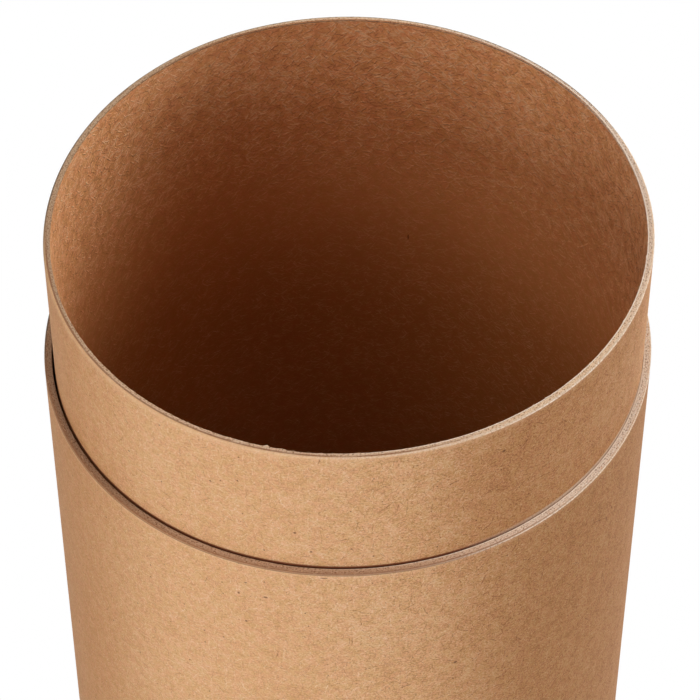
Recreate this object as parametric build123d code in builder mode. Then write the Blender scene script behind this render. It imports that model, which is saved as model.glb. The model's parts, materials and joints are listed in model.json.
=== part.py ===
from build123d import *
import os

# Cardboard mailing tube in two telescoping halves, standing on its closed end.
# The outer tube is closed by a glued-in board disc. The open inner tube slides
# inside it and stands out at the top as a short neck.
# Millimetres, +Z up, origin at the centre of the foot of the outer tube.

# Inner tube
inner_bore = 101.6          # clear width that rolled papers go into
inner_wall = 1.15           # wound board
neck_height = 27.6          # what stands out of the outer tube when pushed home

# Outer tube
running_gap = 0.25          # radial gap between the two tubes
outer_wall = 1.3
outer_length = 300.0

# Cut ends of the tubes: handling has crushed the outer arris of each rim
crush_depth = 0.12          # how far the arris is pressed inwards
crush_height = 0.6          # how far the crushed band reaches below the rim
rim_softness = 0.12         # rounding of both arrises of a rim
foot_bevel = 0.12           # lead-in on both arrises of a foot

# Base disc
disc_thickness = 2.0
disc_recess = 3.0           # depth of the disc inside the foot
glue_line = 0.05            # radial gap filled by glue
disc_bevel = 0.3            # lead-in that eases the disc into the foot

# Radii and heights that follow
inner_bore_radius = inner_bore / 2
inner_outside_radius = inner_bore_radius + inner_wall
outer_bore_radius = inner_outside_radius + running_gap
outer_outside_radius = outer_bore_radius + outer_wall
disc_top = disc_recess + disc_thickness
rim_height = outer_length + neck_height


def wound_tube(bore_radius, outside_radius, bottom, top):
    """A straight tube of wound board, cut square at both ends."""
    with BuildPart() as tube:
        with BuildSketch(Plane.XZ) as wall_section:
            with BuildLine():
                Polyline(
                    (bore_radius, bottom),
                    (outside_radius, bottom),
                    (outside_radius, top - crush_height),
                    (outside_radius - crush_depth, top),
                    (bore_radius, top),
                    close=True,
                )
            make_face()
            fillet(wall_section.vertices().group_by(Axis.Y)[-1], radius=rim_softness)
            chamfer(wall_section.vertices().group_by(Axis.Y)[0], length=foot_bevel)
        revolve(axis=Axis.Z)
    return tube


outer_tube = wound_tube(outer_bore_radius, outer_outside_radius, 0, outer_length)
inner_tube = wound_tube(inner_bore_radius, inner_outside_radius, disc_top, rim_height)

with BuildPart() as base_disc:
    with BuildSketch(Plane.XY.offset(disc_recess)):
        Circle(outer_bore_radius - glue_line)
    extrude(amount=disc_thickness)
    chamfer(base_disc.edges().group_by(Axis.Z)[-1], length=disc_bevel)

os.makedirs("parts", exist_ok=True)
outer_tube.part.label = "outer_tube"
export_step(outer_tube.part, "parts/outer_tube.step")
inner_tube.part.label = "inner_tube"
export_step(inner_tube.part, "parts/inner_tube.step")
base_disc.part.label = "base_disc"
export_step(base_disc.part, "parts/base_disc.step")
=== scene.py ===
import json
from math import cos, pi, radians, sin

import bpy
from mathutils import Matrix, Vector


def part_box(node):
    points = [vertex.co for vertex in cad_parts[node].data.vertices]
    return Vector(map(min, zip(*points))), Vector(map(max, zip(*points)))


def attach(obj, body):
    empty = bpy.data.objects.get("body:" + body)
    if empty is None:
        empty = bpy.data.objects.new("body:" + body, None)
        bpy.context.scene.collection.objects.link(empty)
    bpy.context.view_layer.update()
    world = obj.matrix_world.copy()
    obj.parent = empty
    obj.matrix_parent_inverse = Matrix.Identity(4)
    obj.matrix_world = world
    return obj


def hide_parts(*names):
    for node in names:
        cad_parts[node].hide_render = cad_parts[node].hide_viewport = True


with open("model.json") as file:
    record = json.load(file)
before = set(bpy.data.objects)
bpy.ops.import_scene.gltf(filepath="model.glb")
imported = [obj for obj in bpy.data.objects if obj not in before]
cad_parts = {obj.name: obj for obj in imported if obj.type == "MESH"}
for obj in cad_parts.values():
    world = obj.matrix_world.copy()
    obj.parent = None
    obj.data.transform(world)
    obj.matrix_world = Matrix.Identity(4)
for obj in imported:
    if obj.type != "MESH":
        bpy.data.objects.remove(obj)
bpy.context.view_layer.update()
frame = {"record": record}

mm = 0.001
full_turn = 2 * pi

# Sizes that the frame gives, and the gap in which the inner tube runs
inner_low, inner_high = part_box("inner_tube")
outer_low, outer_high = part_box("outer_tube")
disc_low, disc_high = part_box("base_disc")
mouth = next(m for m in frame["record"]["mounts"] if m["name"] == "mouth")
inner_bore = mouth["dims"]["r_mm"] * mm
inner_outside = inner_high.x
inner_wall = inner_outside - inner_bore
running_gap = 0.25 * mm
outer_bore = inner_outside + running_gap
outer_outside = outer_high.x
outer_wall = outer_outside - outer_bore
rim_height = inner_high.z
shoulder_height = outer_high.z

# How far the stored tubes have gone out of round: radial swing and the bearing of its widest place.
# Bearings run from +X, counter-clockwise from above, so that the camera stands at 270 degrees
oval_swing = 0.426 * mm
oval_bearing = radians(67.5)
three_lobe_swing = 0.189 * mm
three_lobe_bearing = radians(-14.3)

# How far the tubes are drawn in, to keep the oval inside the CAD box, and where their axes stand
oval_inset = 0.33 * mm
inner_place = Vector((0, -0.13, 0)) * mm
outer_place = Vector((-0.18, -0.13, 0)) * mm

# Section of a cut rim: a small arris at the bore, which has a burr at the shoulder, a groove where the outer
# ply has parted, and outside it a lip that falls away to the crushed wall
arris_radius = 0.07 * mm
lip_width = 0.34 * mm
lip_drop = 0.36 * mm
groove_width = 0.20 * mm
groove_depth = 0.02 * mm
face_fall = 0.02 * mm
crush_height = 0.60 * mm
rim_band = 1.6 * mm
shoulder_burr = 0.03 * mm

# Bevels of the feet and of the base disc
foot_bevel = 0.12 * mm
disc_bevel = 0.3 * mm

# Unevenness of a rim: its wave and the band that it dies out in, the band of the knife's marks, how far the
# bore's arris is frayed at the mouth and at the shoulder, and the scale, detail and roughness of their noise
rim_wave = 0.10 * mm
wave_band = 1.2 * mm
wave_noise = (3.0, 3.0, 0.5)
knife_band = 0.35 * mm
knife_full = 0.05 * mm
knife_noise = (100.0, 2.0, 0.5)
knife_change = 1.4
mouth_fray = 0.30 * mm
shoulder_fray = 0.04 * mm
fray_noise = (26.0, 4.0, 0.7)
fray_threshold = 0.56
fray_gain = 3.0
fray_chatter = 0.3

# Depth of the knife's marks, and how deep in the wall the frayed arris fades out and is full, in millimetres
knife_depth = 0.05
fray_fade = 0.22
fray_full = 0.04

# Where the bore's arris of a rim has a tuft, and where it steps out and slowly comes back. Their reach is in
# shares of how far that arris is frayed, so that they show only at the mouth
tuft_bearing = radians(255.3)
tuft_width = radians(0.7)
tuft_reach = 1.1
slip_bearing = radians(258.8)
slip_edge = radians(0.35)
slip_end = radians(272.5)
slip_reach = 0.65

# Sides of the tubes that look different: bearing, and how squarely a spot faces it where the look starts
# and where it is full
lip_shade_side = (radians(108), 0.0, 0.4)
parted_side = (radians(235), 0.45, 0.75)
browned_side = (radians(235), -0.1, 0.6)
board_shade_side = (radians(235), 0.0, 0.9)
lip_highlight_side = (radians(-10), -0.3, 0.6)
edge_highlight_side = (radians(-10), -0.1, 0.7)
sheen_side = (radians(-10), 0.35, 0.80)
neck_highlight_side = (radians(-10), 0.45, 0.85)
turned_side = (radians(78), 0.35, 0.80)
coarse_side = (radians(322), 0.3, 0.98)

# Stripes along a lip, a darker brown line, a painted highlight and painted shade: how many lip drops below
# the rim, and half the width where a stripe fades out and where it is full, in millimetres. The painted
# highlight on the neck is placed by its height above the shoulder, in millimetres
lip_line = (0.9, 0.12, 0.03)
lip_sheen = (0.8, 0.14, 0.05)
lip_shade = (0.5, 0.16, 0.06)
shoulder_highlight = (0.2, 0.65, 0.2)

# Lines in the cut board and the paper: half the width where a line fades out and where it is full, in
# millimetres, and for the glue lines in shares of a ply, with how many plies the wall has
glue_lines = 4.0
parted_shade_line = (0.36, 0.08)
glue_line = (0.14, 0.03)
edge_highlight_line = (0.20, 0.05)
joint_crease = (0.22, 0.05)

# How far the paper is rubbed pale below a rim, and how wide the bore's paper is turned over the mouth's rim
rub_reach = 1.6 * mm
bore_rub_reach = 0.6 * mm
turned_width = 0.36 * mm

# Painted shade on the neck in the gap under the shoulder, a dark brown ring: height, and how it fades below
# and above
gap_shade_height = 0.35 * mm
gap_shade_fade = 0.25 * mm
gap_shade_over = 0.12 * mm
gap_shade_over_fade = 0.42 * mm

# Noise in the paper and in the cut board: scale for each millimetre, detail and roughness
cloud_noise = (0.06, 1.0, 0.5)
blotch_noise = (0.5, 2.0, 0.65)
grain_noise = (2.6, 2.0, 0.8)
hue_noise = (0.7, 2.0, 0.6)
swell_noise = (0.12, 2.0, 0.5)
streak_noise = (1.0, 3.0, 0.6)
speckle_noise = (1.0, 2.0, 0.75)
straw_noise = (1.2, 2.0, 0.5)

# How the cut board's noise is stretched along the girth and through the wall, and its seed
streak_stretch = (0.9, 7.0, 0.0)
speckle_stretch = (2.6, 3.6, 3.0)

# How much grain, blotches and clouds weigh in the paper's mottling, and how high its relief is in millimetres
grain_weight = 1.7
blotch_weight = 0.7
cloud_weight = 0.2
grain_relief = 0.045
blotch_relief = 0.06
fibre_relief = 0.03
bore_relief = 3.6

# Specks of bark: cell, size, seed and share of cells
large_specks = (9.0, 0.42, 41.0, 0.14)
small_specks = (3.6, 0.22, 47.0, 0.24)

# Fibres in the paper, one layer a line: cell, length, width, curl, seed, share of cells and strength
face_light = ((1.5, 1.9, 0.18, 1.2, 3.1, 1.0, 0.42), (0.9, 1.0, 0.16, 1.5, 11.7, 1.0, 0.42),
              (5.0, 5.5, 0.20, 1.6, 23.3, 0.35, 0.34))
face_dark = ((1.4, 1.6, 0.18, 1.4, 7.3, 0.8, 0.42), (0.8, 0.8, 0.16, 1.6, 17.9, 0.8, 0.42),
             (6.0, 2.4, 0.24, 1.2, 31.9, 0.40, 0.60))
bore_light = ((1.3, 1.7, 0.28, 0.4, 3.1, 1.0, 1.1), (0.9, 1.2, 0.24, 0.4, 11.7, 1.0, 0.95),
              (2.6, 3.2, 0.28, 0.5, 29.3, 0.5, 0.8))
bore_dark = ((1.2, 1.5, 0.30, 0.5, 7.3, 0.9, 0.80), (4.0, 2.6, 0.30, 0.6, 31.9, 0.5, 0.70))

# Flecks of bark that catch the eye: bearing in degrees, place's height, width and own height in millimetres
neck_flecks = ((260.4, 308.3, 0.52, 0.42), (263.3, 303.8, 0.42, 0.42), (270.6, 304.8, 0.40, 0.34),
               (244.8, 316.6, 0.36, 0.36), (250.1, 318.8, 0.32, 0.40))
wrap_flecks = ((255.4, 292.1, 0.75, 0.40), (265.9, 299.0, 1.30, 0.26), (251.8, 294.9, 0.50, 0.30),
               (250.4, 291.7, 0.40, 0.55))
bore_flecks = ((77.0, 273.3, 0.36, 1.30),)

# How finely the tubes and the disc are wound
steps_round = 1440
wall_steps = 4
bore_band_steps = 5
arris_steps = 5
face_steps = 12
groove_steps = 2
lip_steps = 7
crush_steps = 2
outside_band_steps = 4
bevel_steps = 2
foot_steps = 3
disc_steps_round = 360
disc_face_steps = 24
disc_bevel_steps = 3
disc_edge_steps = 4
merge_distance = 0.0002 * mm

# The three kinds of face, in the order of their numbers, and the inputs that give each its material
bore_face, cut_face, outside_face = range(3)
face_inputs = ("Bore paper", "Cut board", "Outside paper")

# How far the paper strip's joint climbs in a radian, and the height of each strip's joint at bearing 0
helix_rise = 31.7 * mm
bore_joint_height = 276.1 * mm
neck_joint_height = 264.0 * mm
outer_joint_height = 199.0 * mm


class Wire:
    """A node's output. Arithmetic on it adds the Math nodes that work it out."""

    def __init__(self, graph, node, socket):
        self.graph = graph
        self.node = node
        self.socket = socket

    def out(self, name):
        """Another output of the same node."""
        return Wire(self.graph, self.node, self.node.outputs[name])

    def __add__(self, other):
        return self.graph.math("ADD", self, other)

    def __radd__(self, other):
        return self.graph.math("ADD", other, self)

    def __sub__(self, other):
        return self.graph.math("SUBTRACT", self, other)

    def __rsub__(self, other):
        return self.graph.math("SUBTRACT", other, self)

    def __mul__(self, other):
        return self.graph.math("MULTIPLY", self, other)

    def __rmul__(self, other):
        return self.graph.math("MULTIPLY", other, self)

    def __truediv__(self, other):
        return self.graph.math("DIVIDE", self, other)

    def __rtruediv__(self, other):
        return self.graph.math("DIVIDE", other, self)

    def __gt__(self, other):
        return self.graph.math("GREATER_THAN", self, other)

    def __lt__(self, other):
        return self.graph.math("LESS_THAN", self, other)

    def __abs__(self):
        return self.graph.math("ABSOLUTE", self)


class Graph:
    """A shader or geometry node tree, and the one way in which nodes are added to it."""

    def __init__(self, tree):
        self.tree = tree

    def node(self, kind, settings=None, sockets=None, output=0):
        """A node of that type: its settings come first, then the values or wires of its sockets."""
        made = self.tree.nodes.new(kind)
        for name, value in (settings or {}).items():
            setattr(made, name, value)
        for key, value in (sockets or {}).items():
            self.plug(self.input_of(made, key), value)
        return Wire(self, made, made.outputs[output] if len(made.outputs) else None)

    def input_of(self, made, key):
        """A node's input by its place, its identifier or its name."""
        if isinstance(key, int):
            return made.inputs[key]
        return next(s for s in made.inputs if key in (s.identifier, s.name))

    def plug(self, socket, value):
        if isinstance(value, Wire):
            self.tree.links.new(value.socket, socket)
        else:
            socket.default_value = value

    def math(self, operation, *values):
        return self.node("ShaderNodeMath", {"operation": operation}, dict(enumerate(values)))

    def vector(self, operation, *values):
        return self.node("ShaderNodeVectorMath", {"operation": operation}, dict(enumerate(values)))

    def scaled(self, vector, factor):
        return self.node("ShaderNodeVectorMath", {"operation": "SCALE"}, {0: vector, "Scale": factor})

    def joined(self, x, y, z=0.0):
        return self.node("ShaderNodeCombineXYZ", None, {0: x, 1: y, 2: z})

    def parts(self, vector):
        made = self.node("ShaderNodeSeparateXYZ", None, {0: vector})
        return made.out("X"), made.out("Y"), made.out("Z")

    def clamp(self, value):
        return self.node("ShaderNodeClamp", None, {0: value})

    def step(self, value, low, high, start=0.0, end=1.0):
        """A smooth step from start to end as the value goes from low to high."""
        sockets = {"Value": value, "From Min": low, "From Max": high, "To Min": start, "To Max": end}
        return self.node("ShaderNodeMapRange", {"interpolation_type": "SMOOTHSTEP"}, sockets)

    def stripe(self, distance, fade, core):
        """1 within the core distance of a line, and 0 past the fade distance."""
        return self.step(abs(distance), fade, core)

    def tint(self, factor, first, second, blend="MIX"):
        """One colour mixed into another."""
        settings = {"data_type": "RGBA", "blend_type": blend}
        sockets = {"Factor_Float": factor, "A_Color": first, "B_Color": second}
        return self.node("ShaderNodeMix", settings, sockets, output=2)

    def dyed(self, colour, tone):
        """A colour multiplied by a tone."""
        return self.tint(1.0, colour, tone, "MULTIPLY")

    def glazed(self, factor, colour, tone):
        """A colour dyed by a tone, as far as the factor says."""
        return self.tint(factor, colour, self.dyed(colour, tone))

    def noise(self, place, scale, detail, roughness):
        sockets = {"Vector": place, "Scale": scale, "Detail": detail, "Roughness": roughness}
        return self.node("ShaderNodeTexNoise", None, sockets)


def linear(red, green, blue):
    """The linear colour of a display colour given in 255ths."""
    shares = [c / 255 for c in (red, green, blue)]
    return tuple(c / 12.92 if c <= 0.04045 else ((c + 0.055) / 1.055) ** 2.4 for c in shares) + (1.0,)


# Colours of the paper and the board
kraft_tan = linear(219, 161, 108)
liner_tan = linear(234, 162, 103)
# The lining brown is darkened as painted shade, for the gap and the deep bore
shaded_lining_brown = linear(128, 88, 60)
kraft_pale = linear(242, 210, 172)
kraft_dark = linear(142, 82, 38)
bore_pale = linear(255, 206, 158)
bore_shade = linear(164, 88, 50)
worn_pale = linear(240, 200, 158)
# A pale colour for painted highlights
highlight_pale = linear(232, 212, 192)
speck_brown = linear(108, 58, 22)
joint_pale = linear(226, 184, 142)
board_cream = linear(248, 212, 178)
board_pale = linear(253, 230, 204)
board_dark = linear(156, 108, 76)
# A bright colour for painted highlights on the arrises
arris_highlight = linear(255, 238, 222)
glue_and_shade_brown = linear(160, 110, 78)
arris_brown = linear(138, 92, 62)
# Painted shade in the gap under the shoulder
gap_shade_brown = linear(116, 52, 24)
# Painted shade along the back of a lip
lip_shade_grey = linear(92, 82, 70)

# Tones that colours are multiplied by
pinkish = (1.03, 0.985, 1.04, 1.0)
yellowish = (0.98, 1.0, 0.92, 1.0)
# The next three tones are painted shade: on the cut board, on the turned paper, and down the bore
board_shade_tone = (0.50, 0.43, 0.41, 1.0)
turned_shade_tone = (0.60, 0.42, 0.31, 1.0)
bore_depth_shade = (0.56, 0.47, 0.30, 1.0)

# Painted light and shade round a tube: sides as above, each with the tone that lightens or darkens it
neck_painted_light = ((radians(252), 0.72, 0.98, (1.02, 1.08, 1.15, 1.0)),
              (radians(190), 0.70, 0.99, (0.86, 0.79, 0.71, 1.0)),
              (radians(319), 0.75, 0.99, (0.73, 0.65, 0.55, 1.0)))
wrap_painted_light = ((radians(252), 0.72, 0.98, (1.02, 1.08, 1.15, 1.0)),
              (radians(190), 0.70, 0.99, (0.80, 0.73, 0.64, 1.0)),
              (radians(334), 0.60, 0.99, (0.65, 0.57, 0.45, 1.0)))
inner_board_painted_light = ((radians(22), 0.50, 0.95, (0.90, 0.97, 1.13, 1.0)),
                     (radians(160), 0.30, 0.90, (0.68, 0.65, 0.62, 1.0)))
outer_board_painted_light = ((radians(-20), 0.50, 0.95, (1.00, 1.18, 1.45, 1.0)),
                     (radians(185), 0.50, 0.90, (0.62, 0.59, 0.56, 1.0)))
bore_painted_light = ((radians(172), 0.30, 0.95, (1.12, 1.21, 1.30, 1.0)),
              (radians(100), 0.62, 0.98, (0.87, 0.80, 0.76, 1.0)))

# Down the bore the paper's marks are clear to one depth and dim at the next, with what is left of them there.
# The tone is darkened downwards as painted shade, darkest at the last. Depths are in millimetres
clear_depth = 10.0
dim_depth = 50.0
dim_share = 0.18
darkest_shade_depth = 80.0

# On the coarse side the marks are stronger: their share on the far side, and what is added on the near one
smooth_share = 0.7
coarse_gain = 0.65

# How sharply a fibre ends, how the edges of flecks and specks fade, how the patterns of fibres and specks are
# shifted by their seeds, and the surfaces' gloss
fibre_end_sharpness = 4.0
fleck_edge = (1.5, 0.4)
speck_edge = (1.0, 0.5)
fibre_slant = 0.37
speck_slant = 1.3
paper_gloss = 0.30
board_gloss = 0.08

# A rim height for a piece that has no rim
far_above = 1.0

# Loose fibres on the rims. A ring has its radius, width, height, count of fibres and seed
loose_length = 0.7 * mm
loose_thickness = 0.05 * mm
mouth_ring = (inner_bore - 0.01 * mm, 0.06 * mm, rim_height - 0.20 * mm, 260, 3)
shoulder_ring = (outer_outside - 0.40 * mm, 0.5 * mm, shoulder_height - 0.06 * mm, 160, 4)

# A loose fibre's bow, rise and tip in shares of its half length, its turns in radians, and its smallest size
strand_steps = 5
strand_sides = 5
strand_bow = 0.25
strand_rise = 0.4
strand_tip = 0.1
fibre_roll = 0.5
fibre_pitch = 0.25
fibre_turn = (0.9, 2.3)
smallest_fibre = 0.35

# The photograph's camera
camera_place = Vector((0, -376.54, 711.49)) * mm
camera_aim = Vector((0.3, 0, 295.69)) * mm
camera_roll = radians(0.04)
camera_lens = 164.3
sensor_width = 36.0
clip_near = 0.01
clip_far = 50.0

# The lamps: name, azimuth and elevation in degrees, size, power and colour
lamp_distance = 1.2
lamp_target = Vector((0, 0, 0.25))
lamps = (("key", -20, 4, 0.6, 7.0, (0.97, 1.02, 1.10)),
         ("front_right", 15, 9, 0.6, 0.6, (1.0, 0.80, 0.60)),
         ("high_left", -50, 43, 0.6, 2.4, (1, 1, 1)),
         ("back_right", 110, 31, 0.6, 4.2, (1.0, 0.94, 0.86)),
         ("edge", 114, 14, 0.5, 5.2, (1, 1, 1)),
         ("overhead", 0, 86, 0.3, 4.9, (1.0, 0.92, 0.82)),
         ("back_fill", 192, 6, 0.6, 4.0, (1, 1, 1)))

# The white room: its fill light, and the floor's glow, which is least at the foot and full further out
ambient_strength = 0.01
plain_white = (1.0, 1.0, 1.0, 1.0)
floor_white = linear(244, 243, 241)
floor_half = 6.0
shadow_radius = 0.06
white_radius = 0.16
foot_glow = 0.45


def cell_pattern(g, sheet, cell, seed, slant):
    """The place on a sheet measured in cells, and the pattern of those cells."""
    place = g.vector("ADD", g.scaled(sheet, 1 / cell), (seed, slant * seed, 0.0))
    cells = g.node("ShaderNodeTexVoronoi", {"voronoi_dimensions": "2D"}, {"Vector": place, "Scale": 1.0})
    return place, cells


def fibres(g, sheet, cell, length, width, curl, seed, share, spread):
    """How strongly a fibre shows at a point of a sheet in millimetres: one curled fibre in each cell.

    Their directions spread evenly about the tube's girth, over a half turn if spread is 1.
    """
    place, cells = cell_pattern(g, sheet, cell, seed, fibre_slant)
    luck_x, luck_y, luck_z = g.parts(cells.out("Color"))
    away = g.vector("SUBTRACT", place, cells.out("Position"))
    angle = (luck_x - 0.5) * (pi * spread)
    turned = g.node("ShaderNodeVectorRotate", {"rotation_type": "Z_AXIS"}, {"Vector": away, "Angle": angle})
    along, across, _ = g.parts(turned)
    bowed = across + (luck_y - 0.5) * (along * along) * curl
    body = g.clamp(1.0 - abs(bowed) * (2 * cell / width))
    ends = g.clamp((1.0 - abs(along) * (2 * cell / length)) * fibre_end_sharpness)
    return body * ends * (luck_z < share)


def fibre_layers(g, sheet, layers, spread):
    """All the fibres of one tone, each layer at its own strength."""
    total = 0.0
    for cell, length, width, curl, seed, share, strength in layers:
        total = total + fibres(g, sheet, cell, length, width, curl, seed, share, spread) * strength
    return total


def flecks(g, sheet, level, girth_radius, places):
    """Single flecks of bark at chosen places of a tube's surface."""
    total = 0.0
    around, _, _ = g.parts(sheet)
    for bearing, height, width, tall in places:
        across = (around - radians(bearing) * girth_radius / mm) * (2 / width)
        up = (level - height) * (2 / tall)
        total = total + g.step(across * across + up * up, *fleck_edge)
    return total


def specks(g, sheet, cell, size, seed, share):
    """Round specks of bark and dirt, in some cells of a sheet in millimetres."""
    _, cells = cell_pattern(g, sheet, cell, seed, speck_slant)
    luck_x, luck_y, _ = g.parts(cells.out("Color"))
    edge = (0.4 + 0.6 * luck_y) * (size / cell)
    return g.step(cells.out("Distance") / edge, *speck_edge) * (luck_x < share)


def strip_joint(g, joint_height):
    """Distance across the surface from the helical joint of the paper strip, in millimetres."""
    x, y, z = g.parts(g.node("ShaderNodeTexCoord", output="Object"))
    bearing = g.math("ARCTAN2", y, x)
    above = (z - joint_height - bearing * helix_rise) / (full_turn * helix_rise)
    turn = above - g.math("ROUND", above)
    slope = helix_rise / inner_outside
    return turn * (full_turn * helix_rise / mm / (1 + slope * slope) ** 0.5)


def side_share(g, place, bearing, start, full):
    """0 away from a tube's side, and 1 where a spot faces its bearing as squarely as full says."""
    x, y, _ = g.parts(place)
    facing = (x * cos(bearing) + y * sin(bearing)) / (inner_outside / mm)
    return g.step(facing, start, full)


def with_painted_light(g, colour, place, painted_light):
    """A colour lightened and darkened round the tube by painted light and shade."""
    for bearing, start, full, tone in painted_light:
        colour = g.glazed(side_share(g, place, bearing, start, full), colour, tone)
    return colour


def groove_middle(wall):
    """How far the groove's middle lies from the bore, in millimetres, for a wall as a number or a wire."""
    return (wall - lip_width - groove_width / 2) / mm


def new_material(name):
    """A material, its graph, its surface and the place on the piece in millimetres."""
    made = bpy.data.materials.new(name)
    made.use_nodes = True
    g = Graph(made.node_tree)
    place = g.scaled(g.node("ShaderNodeTexCoord", output="Object"), 1 / mm)
    return made, g, made.node_tree.nodes["Principled BSDF"], place


def dress(g, surface, colour, roughness, gloss, height):
    """Gives a surface its colour, roughness and gloss, and a relief from a height in millimetres."""
    g.plug(surface.inputs["Base Color"], colour)
    g.plug(surface.inputs["Roughness"], roughness)
    g.plug(surface.inputs["Specular IOR Level"], gloss)
    bump = g.node("ShaderNodeBump", None, {"Strength": 1.0, "Distance": mm, "Height": height})
    g.plug(surface.inputs["Normal"], bump)


def joined_strip(g, colour, height, joint_height):
    """The faint joint of the paper strip: a pale crease, and a step where one edge lies over the other."""
    gap = strip_joint(g, joint_height)
    crease = g.stripe(gap, *joint_crease)
    colour = g.tint(crease * 0.45, colour, joint_pale)
    return colour, height + g.step(gap, -0.15, 0.15) * 0.03 - crease * 0.02


def gap_shade_and_highlight(g, colour, place, level, grain, ring):
    """Painted shade: a dark brown ring on the neck in the gap under the shoulder, and a pale painted
    highlight in its place on one side.
    """
    top = ring / mm
    foot = (ring - gap_shade_height) / mm
    below = g.step(level, foot - gap_shade_fade / mm, foot)
    above = g.step(level, top + gap_shade_over_fade / mm, top + gap_shade_over / mm)
    scuffed = side_share(g, place, *neck_highlight_side)
    # Painted shade: the dark ring in the gap, left out where the highlight is painted
    colour = g.tint(below * above * (1.0 - scuffed) * 0.92, colour, gap_shade_brown)
    # Pale painted highlight on the neck above the shoulder
    rise, fade, core = shoulder_highlight
    neck_highlight = g.stripe(level - top - rise, fade, core) * scuffed
    return g.tint(g.clamp(neck_highlight * (0.15 + grain)), colour, highlight_pale)


def worn_rim_with_painted_light(g, colour, place, level, grain, blotches, rim, reach, lip_darkening):
    """Paper rubbed pale below a cut rim, with its lip darker brown at the front, painted shade on it at the
    back, and painted highlights on it at the right.
    """
    top = rim / mm
    drop = lip_drop / mm

    def lip_stripe(drops, fade, core):
        return g.stripe(level - top + drops * drop, fade, core)

    rubbed = g.step(level, top - reach / mm, top) * (0.45 + blotches * 0.7)
    scuffed = g.step(level, top - reach / mm / 3, top) * (0.3 + grain * 0.8)
    colour = g.tint(g.clamp(rubbed * 0.35 + scuffed * 0.5), colour, worn_pale)
    arris = g.step(level, top - drop, top - drop / 3)
    # Painted highlight on the lip's arris at the right
    lip_highlight = arris * side_share(g, place, *lip_highlight_side) * g.clamp((grain - 0.34) * 4.0)
    colour = g.tint(g.clamp(lip_highlight), colour, highlight_pale)
    browned = side_share(g, place, *browned_side) * lip_darkening
    colour = g.tint(g.clamp(arris * browned * (0.5 + grain * 0.9)), colour, arris_brown)
    colour = g.tint(g.clamp(lip_stripe(*lip_line) * browned), colour, arris_brown)
    sheen = lip_stripe(*lip_sheen) * side_share(g, place, *sheen_side) * g.clamp((grain - 0.30) * 4.0)
    colour = g.tint(g.clamp(sheen), colour, arris_highlight)
    # Painted shade along the lip at the back
    lip_shaded = lip_stripe(*lip_shade) * side_share(g, place, *lip_shade_side) * (0.4 + grain * 0.8)
    return g.tint(g.clamp(lip_shaded), colour, lip_shade_grey)


def kraft(name, ground, light_layers=face_light, dark_layers=face_dark, pale=kraft_pale, shade=kraft_dark,
          spread=1.0, mottle=1.0, relief=1.0, flat=False, painted_light=(), shaded_from=None, joint_height=None,
          marks=(), girth_radius=outer_outside, ring=None, rim=None, reach=rub_reach, lip_darkening=0.0):
    """Kraft paper: mottled, with short light and dark fibres, specks, a worn rim with painted highlights and
    shade, a painted shade ring under a shoulder, painted light and shade round the tube and down the bore,
    and a faint strip joint.
    """
    made, g, surface, place = new_material(name)
    sheet = place if flat else g.node("ShaderNodeUVMap", {"uv_map": "unrolled"})
    _, _, level = g.parts(place)

    clouds = g.noise(place, *cloud_noise)
    blotches = g.noise(place, *blotch_noise)
    grain = g.noise(sheet, *grain_noise)
    hue = g.noise(place, *hue_noise)
    light = fibre_layers(g, sheet, light_layers, spread)
    dark = fibre_layers(g, sheet, dark_layers, spread)
    raised = fibre_layers(g, sheet, light_layers[:1], spread)
    dirt = specks(g, sheet, *large_specks) + specks(g, sheet, *small_specks)

    broad = (blotches - 0.5) * blotch_weight + (clouds - 0.5) * cloud_weight
    patchy = (grain - 0.5) * grain_weight + broad * mottle
    if painted_light:
        coarse = side_share(g, place, *coarse_side) * coarse_gain + smooth_share
        patchy = patchy * coarse
        dark = dark * coarse
    colour = g.dyed(ground, g.tint(g.step(hue, 0.35, 0.65), pinkish, yellowish))
    if shaded_from is not None:
        depth = shaded_from / mm - level
        clear = g.step(depth, dim_depth, clear_depth, dim_share, 1.0)
        patchy = patchy * clear
        light = light * clear * g.step(blotches, 0.36, 0.62, 0.30, 1.15)
        dark = dark * clear
        dirt = dirt * clear * 0.6
        relief = relief * clear
        # Painted shade: the tone darkens down the bore
        colour = g.glazed(g.step(depth, clear_depth, darkest_shade_depth), colour, bore_depth_shade)
    colour = g.tint(g.clamp(patchy + light), colour, pale)
    colour = g.tint(g.clamp(dark - patchy), colour, shade)
    # Painted light and shade round the tube
    colour = with_painted_light(g, colour, place, painted_light)
    height = (grain - 0.5) * grain_relief + (blotches - 0.5) * blotch_relief + raised * fibre_relief
    height = height * relief
    if joint_height is not None:
        colour, height = joined_strip(g, colour, height, joint_height)
    dirt = dirt + flecks(g, sheet, level, girth_radius, marks)
    colour = g.tint(g.clamp(dirt) * 0.8, colour, speck_brown)
    if ring is not None:
        colour = gap_shade_and_highlight(g, colour, place, level, grain, ring)
    if rim is not None:
        colour = worn_rim_with_painted_light(g, colour, place, level, grain, blotches, rim, reach, lip_darkening)
    dress(g, surface, colour, 0.72 + (0.5 - grain) * 0.2, paper_gloss, height)
    return made


def bore_paper():
    """The liner that shows in the bore: coarse fibres along the girth, painted light and shade round the
    bore, and painted shade that darkens it downwards.
    """
    return kraft("bore_paper", liner_tan, bore_light, bore_dark, bore_pale, bore_shade, spread=0.7,
                 mottle=2.0, relief=bore_relief, painted_light=bore_painted_light, shaded_from=rim_height,
                 joint_height=bore_joint_height, marks=bore_flecks, girth_radius=inner_outside,
                 rim=rim_height, reach=bore_rub_reach)


def neck_paper():
    """The inner tube's outside, with painted shade in the gap under the shoulder and a painted highlight
    there on one side.
    """
    return kraft("neck_paper", kraft_tan, painted_light=neck_painted_light, joint_height=neck_joint_height,
                 marks=neck_flecks, girth_radius=inner_outside, ring=shoulder_height, rim=rim_height)


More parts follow.
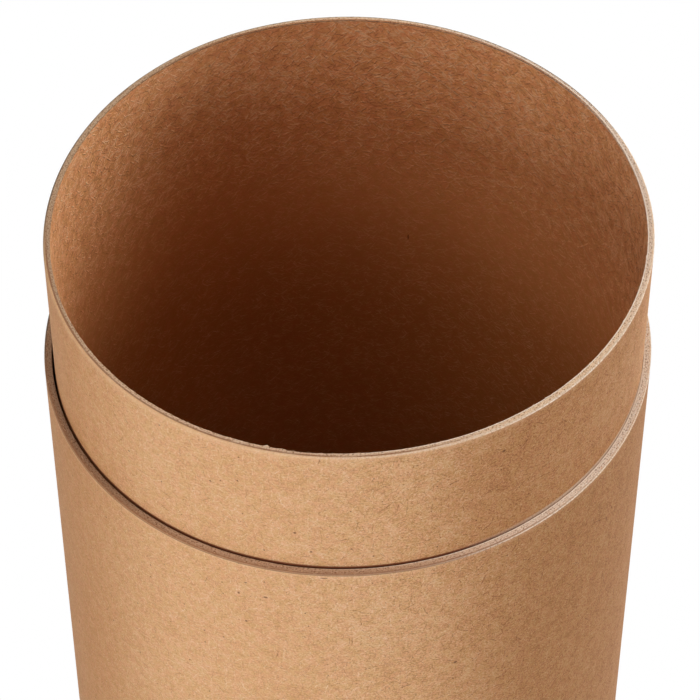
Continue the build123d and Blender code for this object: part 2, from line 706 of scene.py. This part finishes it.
def lining_paper():
    """The bore of the outer tube, which shows only when the inner tube is drawn out. Its brown is darkened as
    painted shade.
    """
    return kraft("lining_paper", shaded_lining_brown, joint_height=bore_joint_height)


def wrap_paper():
    """The outer tube's outside, with the lip of its rim darker brown at the front."""
    return kraft("wrap_paper", kraft_tan, painted_light=wrap_painted_light, joint_height=outer_joint_height,
                 marks=wrap_flecks, rim=shoulder_height, lip_darkening=0.85)


def turned_edge_shade_and_highlight(g, colour, place, depth, streaks, speckle, turn_share):
    """The bore's paper turned over the board at the back, in a tone darkened as painted shade, and a painted
    highlight along its edge at the right.
    """
    turned = side_share(g, place, *turned_side) * turn_share
    edge = depth - turned * (turned_width / mm) + (streaks - 0.5) * 0.12
    # The turned paper, its tone darkened as painted shade
    colour = g.glazed(turned * g.step(edge, 0.03, -0.05), colour, turned_shade_tone)
    # Painted highlight along the turned edge at the right
    edge_highlight = g.stripe(edge - 0.07, *edge_highlight_line) * (0.5 + speckle) * side_share(g, place, *edge_highlight_side)
    return g.tint(g.clamp(edge_highlight), colour, arris_highlight)


def cut_board(name, wall, parted_shade_strength, board_shade_strength, turn_share=0.0, painted_light=()):
    """The knife-cut edge of wound board: pale speckled plies, thin glue lines and a parted ply line whose
    groove's shade is painted dark, with painted shade on one side and painted light and shade round the rim.
    """
    made, g, surface, place = new_material(name)
    sheet = g.node("ShaderNodeUVMap", {"uv_map": "unrolled"})
    depth = g.node("ShaderNodeAttribute", {"attribute_name": "wall_depth"}, output="Fac")
    around, _, _ = g.parts(sheet)

    def stretched(along, through, seed):
        return g.joined(around * along, depth * through, seed)

    swell = g.noise(g.joined(around, 0.0), *swell_noise)
    streaks = g.noise(stretched(*streak_stretch), *streak_noise)
    speckle = g.noise(stretched(*speckle_stretch), *speckle_noise)
    wander = (swell - 0.5) * 0.16 + (streaks - 0.5) * 0.10
    parted_shade = (g.stripe(depth + wander - groove_middle(wall), *parted_shade_line)
              * g.step(swell, 0.30, 0.50, 0.5, 1.0) * side_share(g, place, *parted_side))
    plies = (depth + wander) * (glue_lines * mm / wall)
    glue = g.stripe(plies - g.math("ROUND", plies), *glue_line)

    paleness = g.clamp((speckle - 0.52) * 8.0 + (streaks - 0.5) * 1.0)
    darkness = g.clamp((0.48 - speckle) * 7.0 + (0.5 - streaks) * 0.8)
    colour = g.tint(paleness, board_cream, board_pale)
    colour = g.tint(darkness, colour, board_dark)
    # Painted shade: the cut board darkened on one side
    board_shaded = side_share(g, place, *board_shade_side) * (0.3 + streaks * 1.1) * board_shade_strength
    colour = g.glazed(g.clamp(board_shaded), colour, board_shade_tone)
    # Painted light and shade round the rim
    colour = with_painted_light(g, colour, place, painted_light)
    colour = turned_edge_shade_and_highlight(g, colour, place, depth, streaks, speckle, turn_share)
    # The parted ply line painted dark as the shade of its groove, and the real glue lines
    colour = g.tint(g.clamp(parted_shade * parted_shade_strength + glue * 0.22), colour, glue_and_shade_brown)
    height = (speckle - 0.5) * 0.06 + (streaks - 0.5) * 0.06 - glue * 0.02
    dress(g, surface, colour, 0.9, board_gloss, height)
    return made


def loose_fibre():
    """Loose paper fibres: pale straw, a little darker along some of them."""
    made, g, surface, place = new_material("loose_fibre")
    patches = g.noise(place, *straw_noise)
    g.plug(surface.inputs["Base Color"], g.tint(g.step(patches, 0.35, 0.65), kraft_tan, kraft_pale))
    g.plug(surface.inputs["Roughness"], 0.8)
    return made


def new_tree(name, sizes, counts, materials):
    """A geometry node tree with named inputs for its sizes, counts and materials."""
    tree = bpy.data.node_groups.new(name, "GeometryNodeTree")
    tree.interface.new_socket("Geometry", in_out="INPUT", socket_type="NodeSocketGeometry")
    kinds = (("NodeSocketFloat", sizes), ("NodeSocketInt", counts), ("NodeSocketMaterial", materials))
    for kind, names in kinds:
        for input_name in names:
            tree.interface.new_socket(input_name, in_out="INPUT", socket_type=kind)
    tree.interface.new_socket("Geometry", in_out="OUTPUT", socket_type="NodeSocketGeometry")
    g = Graph(tree)
    given = g.node("NodeGroupInput")
    return g, given.out


round_sizes = ("Oval swing", "Oval bearing", "Three-lobe swing", "Three-lobe bearing", "Inset",
               "Outside radius", "Place x", "Place y")


def round_values(outside, place):
    """What the out-of-round inputs of a tree are set to."""
    return {"Oval swing": oval_swing, "Oval bearing": oval_bearing, "Three-lobe swing": three_lobe_swing,
            "Three-lobe bearing": three_lobe_bearing, "Inset": oval_inset,
            "Outside radius": outside, "Place x": place.x, "Place y": place.y}


def out_of_round(g, bearing, radius, ask):
    """A point's place across the tube, at a bearing and radius of the round tube it was wound as."""
    swing = (ask("Oval swing") * g.math("COSINE", 2.0 * (bearing - ask("Oval bearing")))
             + ask("Three-lobe swing") * g.math("COSINE", 3.0 * (bearing - ask("Three-lobe bearing"))))
    reach = radius + (swing - ask("Inset")) * (radius / ask("Outside radius"))
    x = reach * g.math("COSINE", bearing) + ask("Place x")
    y = reach * g.math("SINE", bearing) + ask("Place y")
    return x, y


def uneven_rim(g, ask, bearing, radius, height, depth):
    """A point's radius and height once the rim is wavy, marked by the knife and frayed at the bore."""
    ring = g.joined(g.math("COSINE", bearing), g.math("SINE", bearing), ask("Seed"))
    near_rim = g.step(height, ask("Rim height") - wave_band, ask("Rim height"))
    at_rim = g.step(height, ask("Rim height") - knife_band, ask("Rim height") - knife_full)
    at_bore = g.step(depth, fray_fade, fray_full) * at_rim
    wave = g.noise(ring, *wave_noise)
    through = g.joined(0.0, 0.0, depth * knife_change)
    chatter = g.noise(g.vector("ADD", ring, through), *knife_noise) - 0.5

    fray = g.clamp(g.noise(ring, *fray_noise) - fray_threshold) * ask("Burr") * at_bore
    tuft = g.stripe(bearing - tuft_bearing, tuft_width, 0.0) * ask("Burr") * tuft_reach
    stepped = g.step(bearing, slip_bearing, slip_bearing + slip_edge)
    slipped = stepped * g.step(bearing, slip_end, slip_bearing)
    fray = fray * fray_gain + tuft * at_bore - slipped * at_bore * ask("Burr") * slip_reach
    marks = knife_depth * mm * at_rim + ask("Burr") * fray_chatter * at_bore

    groove_share = g.clamp(1.0 - abs(depth - groove_middle(ask("Wall"))) * (2 * mm / groove_width))
    groove = groove_share * at_rim * groove_depth
    parted_bearing, parted_start, parted_full = parted_side
    closed = g.step(g.math("COSINE", bearing - parted_bearing), parted_full, parted_start)
    lifted = (height - near_rim * wave * ask("Rim wave") + at_rim * (chatter - 0.5) * knife_depth * mm
              + groove * closed)
    return radius - fray + chatter * marks, lifted


def winding_tree():
    """Turns a section round the axis and lets the turned board go out of round."""
    sizes = (*round_sizes, "Wall", "Rim height", "Rim wave", "Burr")
    g, ask = new_tree("wind_board", sizes, ("Steps round", "Section points", "Seed"), face_inputs)
    grid = g.node("GeometryNodeMeshGrid", None, {
        "Size X": 1.0, "Size Y": 1.0,
        "Vertices X": ask("Steps round") + 1.0, "Vertices Y": ask("Section points")})
    spot_x, spot_y, _ = g.parts(g.node("GeometryNodeInputPosition"))
    bearing = (spot_x + 0.5) * full_turn
    row = (spot_y + 0.5) * (ask("Section points") - 1.0)

    def from_section(value, data_type, index):
        sockets = {"Geometry": ask("Geometry"), "Value": value, "Index": index}
        return g.node("GeometryNodeSampleIndex", {"data_type": data_type, "domain": "POINT"}, sockets)

    def section_value(name):
        return g.node("GeometryNodeInputNamedAttribute", {"data_type": "FLOAT"}, {"Name": name})

    def stored(geometry, data_type, domain, name, value):
        settings = {"data_type": data_type, "domain": domain}
        sockets = {"Geometry": geometry, "Name": name, "Value": value}
        return g.node("GeometryNodeStoreNamedAttribute", settings, sockets)

    here = g.math("ROUND", row)
    section_place = from_section(g.node("GeometryNodeInputPosition"), "FLOAT_VECTOR", here)
    radius, _, height = g.parts(section_place)
    run = from_section(section_value("run"), "FLOAT", here)
    depth = from_section(section_value("wall_depth"), "FLOAT", here)
    face_kind = from_section(section_value("face_kind"), "FLOAT", g.math("FLOOR", row))
    frayed, lifted = uneven_rim(g, ask, bearing, radius, height, depth)
    x, y = out_of_round(g, bearing, frayed, ask)

    unrolled = g.joined(bearing * ask("Outside radius") / mm, run / mm)
    flat = stored(grid, "FLOAT2", "CORNER", "unrolled", unrolled)
    flat = stored(flat, "FLOAT", "POINT", "wall_depth", depth)
    flat = stored(flat, "FLOAT", "FACE", "face_kind", face_kind)
    wound = g.node("GeometryNodeSetPosition", None, {"Geometry": flat, "Position": g.joined(x, y, lifted)})
    wound = g.node("GeometryNodeMergeByDistance", None, {"Geometry": wound, "Distance": merge_distance})
    wound = g.node("GeometryNodeFlipFaces", None, {"Mesh": wound})
    wound = g.node("GeometryNodeRealizeInstances", None, {"Geometry": wound})
    for kind, name in enumerate(face_inputs):
        chosen = abs(section_value("face_kind") - float(kind)) < 0.5
        wound = g.node("GeometryNodeSetMaterial", None,
                       {"Geometry": wound, "Selection": chosen, "Material": ask(name)})
    g.node("NodeGroupOutput", None, {"Geometry": wound})
    return g.tree


def fibre_tree():
    """Scatters short fibres round a cut rim: some lie along it, some stand out of it."""
    sizes = (*round_sizes, "Ring radius", "Ring height", "Ring width", "Fibre length", "Fibre thickness")
    g, ask = new_tree("fray_rim", sizes, ("Count", "Seed"), ("Fibre",))

    def luck(seed, low=0.0, high=1.0):
        sockets = {"Min_001": low, "Max_001": high, "Seed": ask("Seed") + float(seed)}
        return g.node("FunctionNodeRandomValue", {"data_type": "FLOAT"}, sockets, output=1)

    points = g.node("GeometryNodePoints", None, {"Count": ask("Count")})
    bearing = luck(1) * full_turn
    radius = ask("Ring radius") + (luck(2) - 0.5) * ask("Ring width")
    x, y = out_of_round(g, bearing, radius, ask)
    points = g.node("GeometryNodeSetPosition", None,
                    {"Geometry": points, "Position": g.joined(x, y, ask("Ring height"))})

    half = ask("Fibre length") * 0.5
    strand = g.node("GeometryNodeCurveQuadraticBezier", None, {
        "Resolution": strand_steps, "Start": g.joined(half * -1.0, 0.0),
        "Middle": g.joined(0.0, half * strand_bow, half * strand_rise),
        "End": g.joined(half, 0.0, half * strand_tip)})
    thread = g.node("GeometryNodeCurvePrimitiveCircle", None,
                    {"Resolution": strand_sides, "Radius": ask("Fibre thickness") * 0.5})
    strand = g.node("GeometryNodeCurveToMesh", None,
                    {"Curve": strand, "Profile Curve": thread, "Fill Caps": True})
    roll = luck(3, -fibre_roll, fibre_roll)
    pitch = luck(4, -fibre_pitch, fibre_pitch)
    size = luck(6, smallest_fibre, 1.0)
    turn = g.joined(roll, pitch, bearing + luck(5, *fibre_turn))
    placed = g.node("GeometryNodeInstanceOnPoints", None, {
        "Points": points, "Instance": strand, "Rotation": turn, "Scale": g.joined(size, size, size)})
    placed = g.node("GeometryNodeRealizeInstances", None, {"Geometry": placed})
    placed = g.node("GeometryNodeSetMaterial", None, {"Geometry": placed, "Material": ask("Fibre")})
    g.node("NodeGroupOutput", None, {"Geometry": placed})
    return g.tree


def grown(name, base, tree, values):
    """The plain mesh that a geometry node tree makes from a base mesh, as an object at the origin."""
    source = bpy.data.objects.new(name, base)
    bpy.context.scene.collection.objects.link(source)
    modifier = source.modifiers.new("grow", "NODES")
    modifier.node_group = tree
    for item in tree.interface.items_tree:
        if item.in_out == "INPUT" and item.name in values:
            modifier[item.identifier] = values[item.name]
    graph = bpy.context.evaluated_depsgraph_get()
    mesh = bpy.data.meshes.new_from_object(source.evaluated_get(graph))
    source.modifiers.remove(modifier)
    source.data = mesh
    mesh.name = name
    # The tree leaves the first material slot empty
    mesh.materials.pop(index=0)
    return source


def arc(centre_r, centre_z, radius, start, end, steps):
    """Points of an arc in a section, angles in degrees from the outward direction."""
    angles = [radians(start + (end - start) * i / steps) for i in range(steps + 1)]
    return [(centre_r + radius * cos(a), centre_z + radius * sin(a)) for a in angles]


def straight(first, last, steps):
    """Points of a straight run in a section, without its last point."""
    return [(first[0] + (last[0] - first[0]) * i / steps, first[1] + (last[1] - first[1]) * i / steps)
            for i in range(steps)]


def section_points(runs):
    """A section's runs as one list of (radius, height, kind of the face that follows)."""
    return [(r, z, kind) for kind, points in runs for r, z in points]


def tube_section(bore, outside, foot, rim, burr=0.0):
    """A tube's wall, up the bore and down the outside."""
    face = rim - face_fall
    bore_foot = (bore, foot + foot_bevel)
    bore_band = (bore, rim - rim_band)
    arris = arc(bore - burr + arris_radius, rim - arris_radius, arris_radius, 180, 90, arris_steps)
    groove_start = (outside - lip_width - groove_width, face)
    groove_floor = (outside - lip_width - groove_width / 2, face - groove_depth)
    lip_start = (outside - lip_width, face)
    lip_angles = [radians(90 * i / lip_steps) for i in range(lip_steps)]
    lip = [(outside - lip_width * (1 - sin(a)), face - lip_drop * (1 - cos(a))) for a in lip_angles]
    lip_end = (outside, face - lip_drop)
    band_end = (outside, rim - crush_height)
    outside_band = (outside, rim - rim_band)
    outside_foot = (outside, foot + foot_bevel)
    foot_outer = (outside - foot_bevel, foot)
    foot_inner = (bore + foot_bevel, foot)
    return section_points((
        (bore_face, straight(bore_foot, bore_band, wall_steps)),
        (bore_face, straight(bore_band, arris[0], bore_band_steps)),
        (cut_face, arris[:-1]),
        (cut_face, straight(arris[-1], groove_start, face_steps)),
        (cut_face, straight(groove_start, groove_floor, groove_steps)),
        (cut_face, straight(groove_floor, lip_start, groove_steps)),
        (outside_face, lip),
        (outside_face, straight(lip_end, band_end, crush_steps)),
        (outside_face, straight(band_end, outside_band, outside_band_steps)),
        (outside_face, straight(outside_band, outside_foot, wall_steps)),
        (cut_face, straight(outside_foot, foot_outer, bevel_steps)),
        (cut_face, straight(foot_outer, foot_inner, foot_steps)),
        (cut_face, straight(foot_inner, bore_foot, bevel_steps)),
        (bore_face, [bore_foot]),
    ))


def disc_section(radius, bottom, top):
    """The base disc's half section, from the middle of its top round its edge to the middle of its foot."""
    bevel_start = (radius - disc_bevel, top)
    bevel_end = (radius, top - disc_bevel)
    foot_edge = (radius, bottom)
    return section_points((
        (bore_face, straight((0.0, top), bevel_start, disc_face_steps)),
        (cut_face, straight(bevel_start, bevel_end, disc_bevel_steps)),
        (cut_face, straight(bevel_end, foot_edge, disc_edge_steps)),
        (outside_face, straight(foot_edge, (0.0, bottom), disc_face_steps)),
        (outside_face, [(0.0, bottom)]),
    ))


def section_mesh(name, section, bore):
    """The section as bare points, each with its run along the section and its depth into the wall."""
    mesh = bpy.data.meshes.new(name + "_section")
    mesh.from_pydata([(r, 0.0, z) for r, z, kind in section], [], [])
    run = 0.0
    runs = []
    last = section[0]
    for point in section:
        run += ((point[0] - last[0]) ** 2 + (point[1] - last[1]) ** 2) ** 0.5
        runs.append(run)
        last = point
    columns = {"run": runs, "wall_depth": [(r - bore) / mm for r, z, kind in section],
               "face_kind": [float(kind) for r, z, kind in section]}
    for column, values in columns.items():
        mesh.attributes.new(column, "FLOAT", "POINT").data.foreach_set("value", values)
    return mesh


def wound_piece(name, section, bore, values, tree, body, node):
    """One wound or turned piece, riding its body in place of its CAD node."""
    inputs = {"Section points": len(section), "Steps round": steps_round, **values}
    piece = grown(name, section_mesh(name, section, bore), tree, inputs)
    for polygon in piece.data.polygons:
        polygon.use_smooth = True
    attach(piece, body)
    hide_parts(node)


def wind_inner_tube(tree):
    """The inner tube, whose neck stands out of the outer tube with the open mouth in it."""
    values = {**round_values(inner_outside, inner_place), "Wall": inner_wall, "Rim height": rim_height,
              "Rim wave": rim_wave, "Burr": mouth_fray, "Seed": 3,
              "Bore paper": bore_paper(),
              "Cut board": cut_board("inner_cut_board", inner_wall, 0.8, 0.35, 1.0, inner_board_painted_light),
              "Outside paper": neck_paper()}
    section = tube_section(inner_bore, inner_outside, inner_low.z, rim_height)
    wound_piece("inner_tube_board", section, inner_bore, values, tree, "inner", "inner_tube")


def wind_outer_tube(tree):
    """The outer tube, whose cut rim is the shoulder."""
    values = {**round_values(outer_outside, outer_place), "Wall": outer_wall, "Rim height": shoulder_height,
              "Rim wave": rim_wave, "Burr": shoulder_fray, "Seed": 8,
              "Bore paper": lining_paper(),
              "Cut board": cut_board("outer_cut_board", outer_wall, 0.3, 0.8, painted_light=outer_board_painted_light),
              "Outside paper": wrap_paper()}
    section = tube_section(outer_bore, outer_outside, outer_low.z, shoulder_height, shoulder_burr)
    wound_piece("outer_tube_board", section, outer_bore, values, tree, "outer", "outer_tube")


def turn_base_disc(tree):
    """The base disc in the foot of the outer tube. Its rim height is far above it, so that it has no rim."""
    # The disc takes the lining brown, painted shade at the foot of the bore
    paper = kraft("disc_paper", shaded_lining_brown, flat=True)
    values = {**round_values(outer_outside, outer_place), "Wall": disc_high.x, "Rim height": far_above,
              "Rim wave": 0.0, "Burr": 0.0, "Seed": 5, "Steps round": disc_steps_round,
              "Bore paper": paper,
              "Cut board": cut_board("disc_cut_board", disc_high.x, 0.0, 0.3),
              "Outside paper": paper}
    section = disc_section(disc_high.x, disc_low.z, disc_high.z)
    wound_piece("base_disc_board", section, 0.0, values, tree, "outer", "base_disc")


def fray_rim(name, tree, fibre, ring, outside, place, body):
    """The loose fibres on one cut rim."""
    radius, width, height, count, seed = ring
    values = {**round_values(outside, place), "Ring radius": radius, "Ring width": width,
              "Ring height": height, "Fibre length": loose_length, "Fibre thickness": loose_thickness,
              "Count": count, "Seed": seed, "Fibre": fibre}
    piece = grown(name, bpy.data.meshes.new(name + "_start"), tree, values)
    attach(piece, body)


def build_tube():
    """Both tubes, the base disc, and the loose fibres on the two rims."""
    winding = winding_tree()
    wind_inner_tube(winding)
    wind_outer_tube(winding)
    turn_base_disc(winding)
    fraying = fibre_tree()
    fibre = loose_fibre()
    fray_rim("inner_rim_fibres", fraying, fibre, mouth_ring, inner_outside, inner_place,
             "inner")
    fray_rim("outer_rim_fibres", fraying, fibre, shoulder_ring, outer_outside, outer_place,
             "outer")


def aim(obj, place, target, roll=0.0):
    """Puts a lamp or the camera in place and points it at a target."""
    facing = (target - place).to_track_quat("-Z", "Y").to_matrix().to_4x4()
    obj.matrix_world = Matrix.Translation(place) @ facing @ Matrix.Rotation(roll, 4, "Z")


def make_camera():
    data = bpy.data.cameras.new("camera")
    data.lens = camera_lens
    data.sensor_width = sensor_width
    data.clip_start = clip_near
    data.clip_end = clip_far
    camera = bpy.data.objects.new("camera", data)
    bpy.context.scene.collection.objects.link(camera)
    aim(camera, camera_place, camera_aim, camera_roll)
    bpy.context.scene.camera = camera


def soft_lamp(name, azimuth, elevation, size, power, colour):
    """A square soft box; azimuth 0 is at the camera's side, 90 to the right."""
    data = bpy.data.lights.new(name, "AREA")
    data.size = size
    data.energy = power
    data.color = colour
    lamp = bpy.data.objects.new(name, data)
    bpy.context.scene.collection.objects.link(lamp)
    lamp.visible_camera = False
    a = radians(azimuth)
    e = radians(elevation)
    place = lamp_target + lamp_distance * Vector((sin(a) * cos(e), -cos(a) * cos(e), sin(e)))
    aim(lamp, place, lamp_target)


def light_scene():
    for lamp in lamps:
        soft_lamp(*lamp)


def seen_ray(g):
    """1 for rays that show a surface to the camera, directly, mirrored or through glass, else 0."""
    rays = g.node("ShaderNodeLightPath")
    return g.clamp(rays.out("Is Camera Ray") + rays.out("Is Glossy Ray") + rays.out("Is Transmission Ray"))


def make_world():
    """Plain white to the camera, and a soft grey fill on the object."""
    world = bpy.data.worlds.new("studio")
    bpy.context.scene.world = world
    world.use_nodes = True
    world.node_tree.nodes.clear()
    g = Graph(world.node_tree)
    fill = g.node("ShaderNodeBackground", None, {"Strength": ambient_strength, "Color": plain_white})
    white = g.node("ShaderNodeBackground", None, {"Strength": 1.0, "Color": plain_white})
    mixed = g.node("ShaderNodeMixShader", None, {0: seen_ray(g), 1: fill, 2: white})
    g.node("ShaderNodeOutputWorld", None, {"Surface": mixed})


def floor_material():
    """Matt and pale near the foot, where the shadow falls, and glowing white further out."""
    made = bpy.data.materials.new("floor_white")
    made.use_nodes = True
    made.node_tree.nodes.clear()
    g = Graph(made.node_tree)
    distance = g.vector("LENGTH", g.node("ShaderNodeTexCoord", output="Object")).out("Value")
    glow = g.step(distance, shadow_radius, white_radius, foot_glow, 1.0) * seen_ray(g)
    matt = g.node("ShaderNodeBsdfDiffuse", None, {"Color": floor_white})
    white = g.node("ShaderNodeEmission", None, {"Color": plain_white, "Strength": 1.0})
    mixed = g.node("ShaderNodeMixShader", None, {0: glow, 1: matt, 2: white})
    g.node("ShaderNodeOutputMaterial", None, {"Surface": mixed})
    return made


def make_floor():
    """A pale floor that keeps the soft shadow near the foot and goes to white further out."""
    mesh = bpy.data.meshes.new("floor")
    corners = [(x * floor_half, y * floor_half, 0.0) for x, y in ((-1, -1), (1, -1), (1, 1), (-1, 1))]
    mesh.from_pydata(corners, [], [(0, 1, 2, 3)])
    mesh.materials.append(floor_material())
    floor = bpy.data.objects.new("floor", mesh)
    bpy.context.scene.collection.objects.link(floor)


make_camera()
build_tube()
light_scene()
make_world()
make_floor()

bpy.context.scene.view_settings.view_transform = "Standard"
